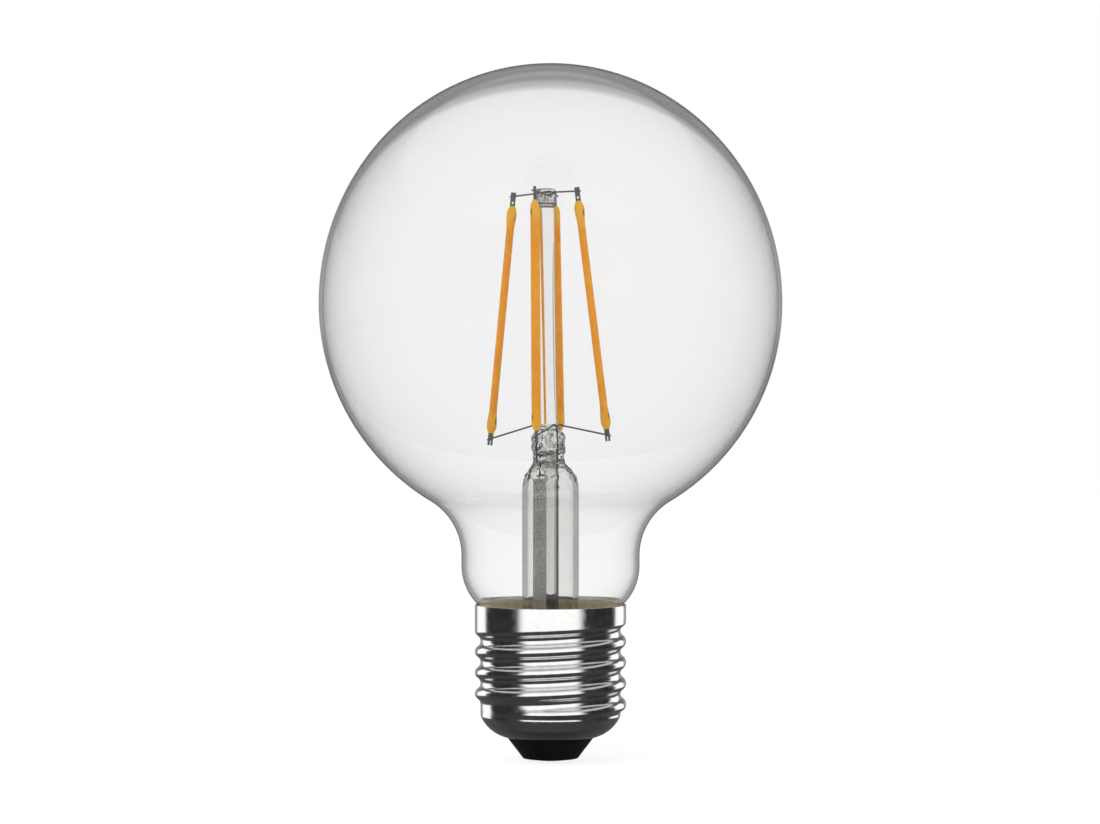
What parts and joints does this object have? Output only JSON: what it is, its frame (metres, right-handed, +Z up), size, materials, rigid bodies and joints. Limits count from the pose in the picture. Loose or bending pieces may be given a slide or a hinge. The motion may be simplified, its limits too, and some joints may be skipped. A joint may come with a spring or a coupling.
{
  "type": "globe bulb",
  "caption": "Clear globe light bulb with upright light filaments on a glass stem and an Edison screw cap.",
  "frame": {"origin": "lowest point of the centre contact, on the bulb's axis", "axes": "+Z up the bulb's axis from the cap to the globe, -Y towards the viewer of the picture, +X to the right"},
  "size_m": [0.08, 0.08, 0.1204],
  "materials": {
    "clear_glass": "clear, polished",
    "stem_glass": "clear, fire polished",
    "nickel_plate": "bright nickel plate",
    "black_glass": "glossy",
    "contact_metal": "tinned, satin",
    "cement": "dull",
    "phosphor_silicone": "satin",
    "strip_ceramic": "matte",
    "tab_steel": "satin",
    "nickel_wire": "drawn, satin",
    "sealing_wire": "oxidised copper sheath",
    "copper_wire": "dull copper",
    "braided_sleeve": "woven glass fibre",
    "board_laminate": "solder mask",
    "moulded_plastic": "matte",
    "capacitor_can": "sleeved can",
    "resistor_body": "lacquered"
  },
  "bodies": {
    "root": {"basing_cement": "cement", "bridge_rectifier": "moulded_plastic", "cap_insulator": "black_glass", "centre_contact": "contact_metal", "ceramic_strip_back": "strip_ceramic", "ceramic_strip_front": "strip_ceramic", "ceramic_strip_left": "strip_ceramic", "ceramic_strip_right": "strip_ceramic", "contact_lead": "copper_wire", "driver_board": "board_laminate", "driver_chip": "moulded_plastic", "fuse_resistor": "resistor_body", "glass_globe": "clear_glass", "glass_stem": "stem_glass", "inner_lead_left": "nickel_wire", "inner_lead_right": "nickel_wire", "insulating_sleeve": "braided_sleeve", "lower_tab_back": "tab_steel", "lower_tab_front": "tab_steel", "lower_tab_left": "tab_steel", "lower_tab_right": "tab_steel", "outer_lead_left": "copper_wire", "outer_lead_right": "copper_wire", "phosphor_coat_back": "phosphor_silicone", "phosphor_coat_front": "phosphor_silicone", "phosphor_coat_left": "phosphor_silicone", "phosphor_coat_right": "phosphor_silicone", "screw_shell": "nickel_plate", "sealing_wire_left": "sealing_wire", "sealing_wire_right": "sealing_wire", "shell_lead": "copper_wire", "smoothing_capacitor": "capacitor_can", "support_wire_front_back": "nickel_wire", "support_wire_right_left": "nickel_wire", "upper_tab_back": "tab_steel", "upper_tab_front": "tab_steel", "upper_tab_left": "tab_steel", "upper_tab_right": "tab_steel"}
  },
  "joints": []
}
